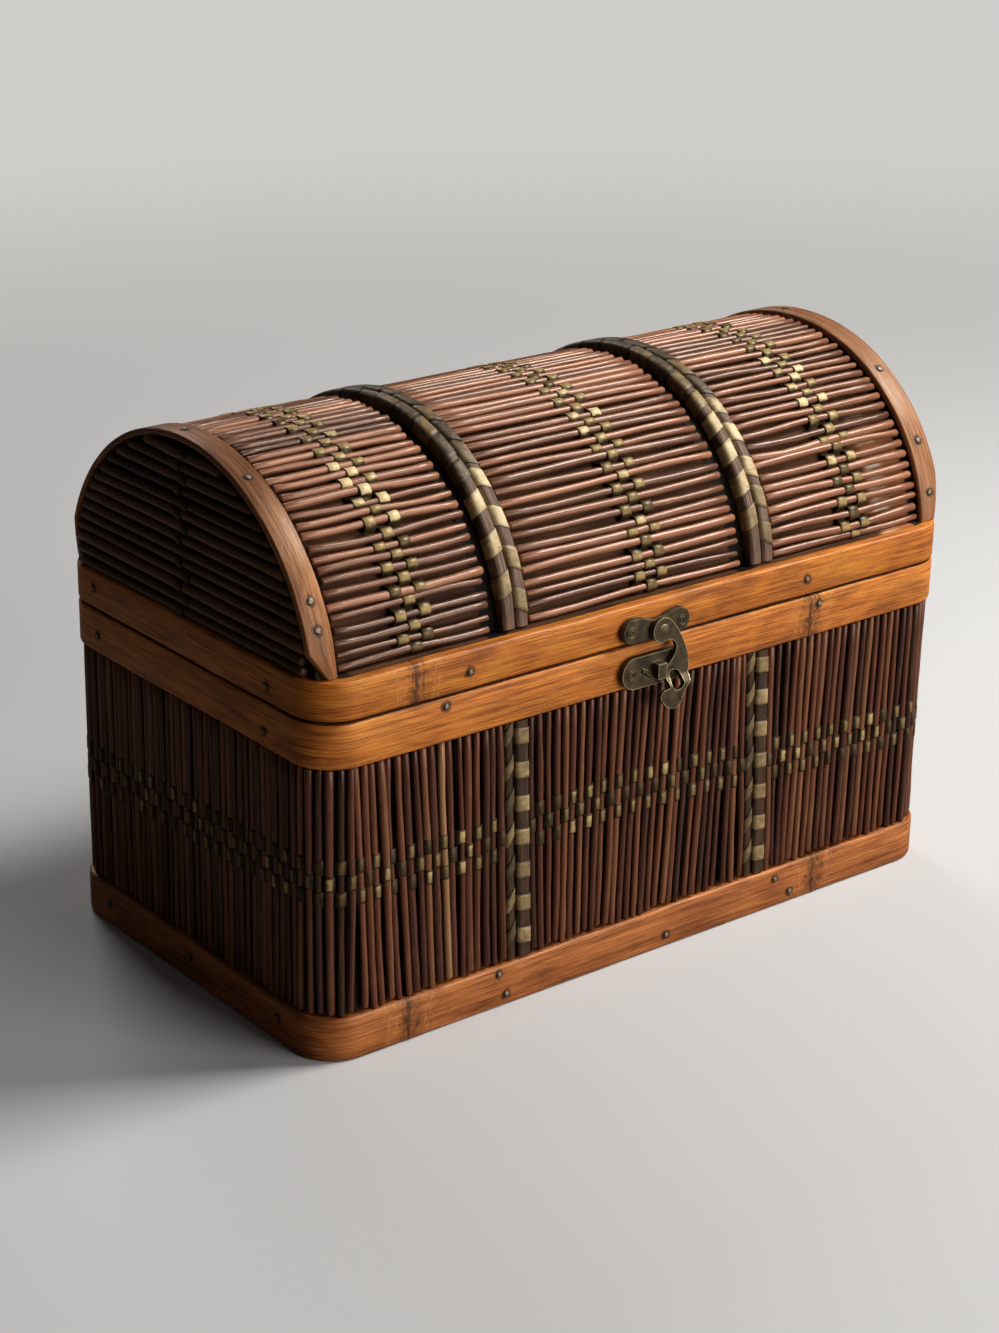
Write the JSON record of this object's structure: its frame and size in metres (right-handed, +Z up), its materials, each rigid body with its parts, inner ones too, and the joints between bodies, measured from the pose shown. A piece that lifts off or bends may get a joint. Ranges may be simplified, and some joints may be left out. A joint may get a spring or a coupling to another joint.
{
  "type": "domed lid box",
  "caption": "Keepsake box with a domed lid, covered in thin reeds with woven strands and wrapped straps, bamboo rims, rear hinges and a front swing-hook clasp.",
  "frame": {"origin": "middle of the flat underside of the box", "axes": "+X along the front to the right, +Y from the front to the back, +Z up"},
  "size_m": [0.251, 0.1499, 0.1736],
  "materials": {
    "bamboo": "varnished",
    "board": "stained",
    "reed": "satin",
    "woven_strand": "satin",
    "wrapped_strap": "satin",
    "clasp": "antique",
    "screw": "antique",
    "hinge": "antique",
    "nail": "dull"
  },
  "bodies": {
    "box": {"bottom_board": "board", "front_board": "board", "back_board": "board", "left_board": "board", "right_board": "board", "body_corner_posts": "board", "base_band": "bamboo", "body_rim": "bamboo", "front_reeds": "reed", "back_reeds": "reed", "left_reeds": "reed", "right_reeds": "reed", "corner_reeds": "reed", "body_weave_upper": "woven_strand", "body_weave_middle": "woven_strand", "body_weave_lower": "woven_strand", "front_straps": "wrapped_strap", "back_straps": "wrapped_strap", "base_band_nails": "nail", "body_rim_nails": "nail", "catch_plate": "clasp", "catch_screws": "screw", "hinge_lower_leaves": "hinge", "hinge_pins": "hinge", "hinge_lower_screws": "hinge"},
    "lid": {"lid_rim": "bamboo", "lid_front_rail": "board", "lid_back_rail": "board", "lid_corner_posts": "board", "dome_board": "board", "left_end_board": "board", "right_end_board": "board", "arch_band_left": "bamboo", "arch_band_right": "bamboo", "lid_reeds_left": "reed", "lid_reeds_middle": "reed", "lid_reeds_right": "reed", "left_end_reeds": "reed", "right_end_reeds": "reed", "lid_weave_left": "woven_strand", "lid_weave_middle": "woven_strand", "lid_weave_right": "woven_strand", "left_end_weave": "woven_strand", "right_end_weave": "woven_strand", "lid_strap_left": "wrapped_strap", "lid_strap_right": "wrapped_strap", "arch_band_nails": "nail", "lid_rim_nails": "nail", "latch_plate": "clasp", "latch_plate_screws": "screw", "hook_rivet": "clasp", "hinge_upper_leaves": "hinge", "hinge_upper_screws": "hinge"},
    "hook": {"latch_hook": "clasp"}
  },
  "joints": [
    {"name": "lid_hinge", "type": "hinge", "parent": "box", "child": "lid", "pos_m": [0, 0.07165, 0.10575], "axis": [-1, 0, 0], "range_deg": [0, 105]},
    {"name": "hook_swing", "type": "hinge", "parent": "lid", "child": "hook", "pos_m": [-0.0033, -0.0728, 0.11], "axis": [0, -1, 0], "range_deg": [-8, 110]}
  ]
}
